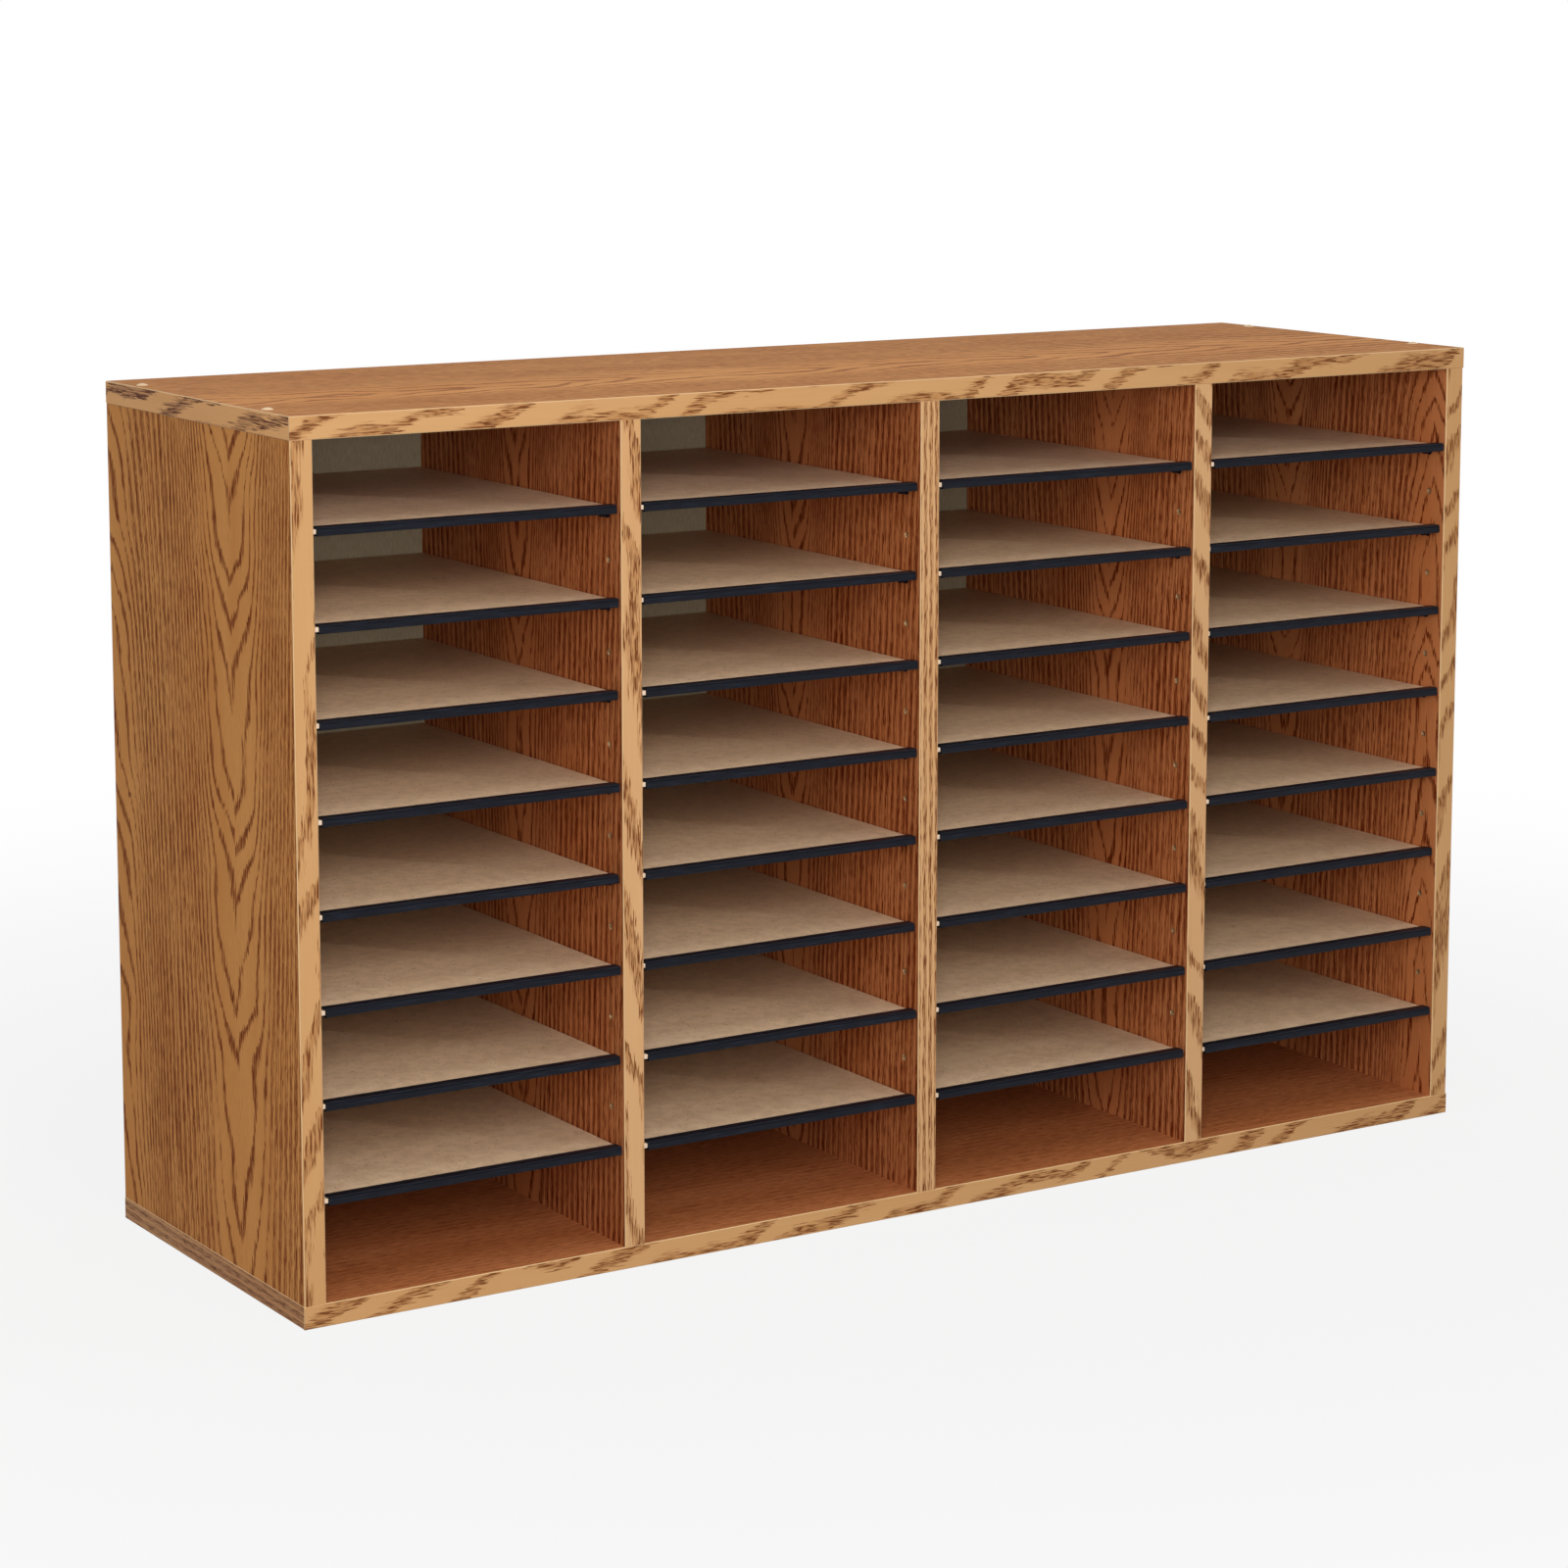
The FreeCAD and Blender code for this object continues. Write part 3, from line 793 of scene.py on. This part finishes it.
def dress_boards():
    """Heart is where the arches stand across the board, and Arch their distance along the grain."""
    side = {"Core": 35.0, "Spread": 30.0, "Line": 8.4, "Breadth": 0.30, "Repeat": 209.0, "Arch": 110.0,
            "Crowd": 1.6e-5, "Pore": 8.0, "Fine": 0.8}
    divider = dict(side, Core=19.0, Spread=15.0, Line=7.4, Repeat=300.0)
    uprights = {
        "left_side": (-1, dict(side, Heart=-53.0, Seed=6.1)),
        "divider_1": (0, dict(divider, Heart=-2.0, Seed=28.7)),
        "divider_2": (0, dict(divider, Heart=20.0, Seed=10.9)),
        "divider_3": (0, dict(divider, Heart=-46.0, Seed=17.3)),
        "right_side": (1, dict(divider, Heart=42.0, Repeat=177.0, Seed=22.4)),
    }
    for node, (outside, figure) in uprights.items():
        dress(node, oak_board(node, "YZ", "X", outside, BOARD_TONES, figure))
    flat = {"Core": 35.0, "Spread": 26.0, "Line": 8.0, "Breadth": 0.34, "Pore": 10.0, "Fine": 0.8}
    top = dict(flat, Heart=-35.0, Arch=-95.0, Repeat=250.0, Seed=71.0)
    base = dict(flat, Heart=-195.0, Arch=-110.0, Breadth=0.12, Repeat=500.0, Seed=83.0)
    dress("top_panel", oak_board("top_panel", "YX", "Z", 1, TOP_TONES, top, gloss=TOP_GLOSS))
    dress("base_panel", oak_board("base_panel", "YX", "Z", -1, BASE_TONES, base))


def dress_bands():
    """The bands are strips cut out of a wide print, beside a heart that lies off the strip."""
    case_low, case_high = CAD_BOX
    front, side = -case_low.y, case_high.x
    slanted = {"Core": 35.0, "Spread": 24.0, "Line": 24.0, "Breadth": 0.48, "Repeat": 400.0, "Pore": 12.0,
               "Fine": 1.15}
    below_strip = -8.0
    top_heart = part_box("top_front_band")[0].z / MM + below_strip
    level = {"top_front_band": dict(slanted, Heart=top_heart, Arch=84.0, Seed=21.9),
             "base_front_band": dict(slanted, Heart=below_strip, Arch=88.0, Seed=97.0)}
    for node, figure in level.items():
        dress(node, edge_band(node, "ZX", "Y", front, BAND_TONES, figure))

    top_ends = dict(slanted, Heart=top_heart, Arch=-125.0, Pore=24.0, Seed=88.2)
    dress("top_end_bands", edge_band("top_end_bands", "ZY", "X", side, TOP_END_TONES, top_ends))
    base_ends = dict(slanted, Spread=6.0, Line=6.0, Breadth=0.5, Heart=-60.0, Arch=300.0, Seed=109.0)
    dress("base_end_bands", edge_band("base_end_bands", "ZY", "X", side, BASE_END_TONES, base_ends))

    # Beside each upright band: how far its heart lies from its middle, its tones and its figure
    uprights = {
        "left_side": (-16.0, BAND_TONES, dict(slanted, Arch=105.0, Seed=1.3)),
        "divider_1": (16.0, DIVIDER_BAND_TONES, dict(slanted, Arch=112.0, Seed=14.2)),
        "divider_2": (70.0, DIVIDER_BAND_TONES, dict(slanted, Spread=5.0, Line=5.0, Arch=900.0, Seed=127.0)),
        "divider_3": (16.0, DIVIDER_BAND_TONES, dict(slanted, Arch=125.0, Crowd=2.0e-5, Seed=1.3)),
        "right_side": (-16.0, BAND_TONES, dict(slanted, Arch=90.0, Crowd=1.1e-5, Seed=7.7)),
    }
    for upright, (offset, tones, figure) in uprights.items():
        node = upright + "_front_band"
        low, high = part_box(node)
        placed = dict(figure, Heart=(low.x + high.x) / 2 / MM + offset)
        dress(node, edge_band(node, "XZ", "Y", front, tones, placed))


def dress_fixings(black):
    dress("back_panel", back_hardboard())
    cream, yellowed = paint(238, 208, 168), paint(226, 190, 148)
    dress("top_screw_plugs", moulded_plastic("plug_plastic", cream, yellowed, 0.38))
    zinc, beech = zinc_steel(), dowel_wood()
    for node in ("top_screws", "base_screws", "back_nails"):
        dress(node, zinc)
    for node in ("top_dowels", "base_dowels"):
        dress(node, beech)
    for column in COLUMNS:
        dress("shelf_pins_%d" % column, black)


# Room, light and camera

def looked_at(w):
    """1 where the camera, a reflection or a view through glass meets this, 0 where it only lights."""
    path = w.add("ShaderNodeLightPath").outputs
    indirect = w.calc("MAXIMUM", path["Is Glossy Ray"], path["Is Transmission Ray"])
    return w.calc("MAXIMUM", path["Is Camera Ray"], indirect)


def floor_finish():
    """Matt grey that catches the object's shadow, mixed with the white that is seen further out."""
    material = bpy.data.materials.new("floor")
    material.use_nodes = True
    w = Wiring(material.node_tree)
    nodes = material.node_tree.nodes
    nodes.remove(nodes["Principled BSDF"])
    grain = w.bumps(w.here(), (FLOOR_PATCH, FLOOR_PATCH, FLOOR_PATCH))
    grey = w.blend(grain, paint(174, 174, 174), paint(180, 180, 179))
    matt = w.add("ShaderNodeBsdfDiffuse", {"Color": grey})
    white = w.add("ShaderNodeEmission", {"Color": (1, 1, 1, 1), "Strength": 1.0})
    x, y, _ = w.here()
    distance = w.calc("SQRT", w.calc("ADD", w.calc("MULTIPLY", x, x), w.calc("MULTIPLY", y, y)))
    far = w.slope(distance, FADE_START, FADE_END, FADE_LEAST, 1.0)
    mix = w.add("ShaderNodeMixShader", {"Fac": w.calc("MULTIPLY", far, looked_at(w))})
    w.join(mix.inputs[1], matt.outputs[0])
    w.join(mix.inputs[2], white.outputs[0])
    w.join(nodes["Material Output"].inputs["Surface"], mix.outputs[0])
    return material


def add_floor():
    """A wide disc, as one flat face with its rim on a circle."""
    turn = np.linspace(0, 2 * math.pi, FLOOR_POINTS, endpoint=False)
    x, y = FLOOR_RADIUS * np.cos(turn), FLOOR_RADIUS * np.sin(turn)
    rim = np.column_stack([x, y, np.full(FLOOR_POINTS, -FLOOR_GAP)])
    new_piece("floor", rim, [list(range(FLOOR_POINTS))], floor_finish())


def light_world():
    """White where it is seen, and an even pale sky where it lights the object."""
    world = bpy.data.worlds.new("world")
    bpy.context.scene.world = world
    world.use_nodes = True
    w = Wiring(world.node_tree)
    background = world.node_tree.nodes["Background"]
    background.inputs["Color"].default_value = (1, 1, 1, 1)
    w.join(background.inputs["Strength"], w.ramp(looked_at(w), SKY_STRENGTH, 1.0))


def add_lamps():
    """Square soft lamps that face the middle of the object."""
    for name, (place, size, watts) in LAMPS.items():
        lamp = bpy.data.lights.new(name, "AREA")
        lamp.shape = "SQUARE"
        lamp.size = size
        lamp.energy = watts
        stand = bpy.data.objects.new(name, lamp)
        stand.location = place
        stand.rotation_euler = (Vector(LAMP_AIM) - Vector(place)).to_track_quat("-Z", "Y").to_euler()
        bpy.context.scene.collection.objects.link(stand)


def add_camera():
    turn, dip = math.radians(CAMERA_TURN), math.radians(CAMERA_DIP)
    forward = Vector((math.sin(turn) * math.cos(dip), math.cos(turn) * math.cos(dip), -math.sin(dip)))
    camera = bpy.data.cameras.new("camera")
    camera.lens = CAMERA_LENS
    camera.shift_y = CAMERA_SHIFT
    stand = bpy.data.objects.new("camera", camera)
    stand.location = CAMERA_PLACE
    stand.rotation_euler = forward.to_track_quat("-Z", "Y").to_euler()
    bpy.context.scene.collection.objects.link(stand)
    bpy.context.scene.camera = stand


def main():
    black = moulded_plastic("black_plastic", paint(15, 17, 25), paint(30, 33, 43), 0.4)
    dress_boards()
    dress_bands()
    dress_fixings(black)
    add_shelves(shelf_hardboard(), black)
    add_floor()
    light_world()
    add_lamps()
    add_camera()
    bpy.context.scene.view_settings.view_transform = "Standard"


main()
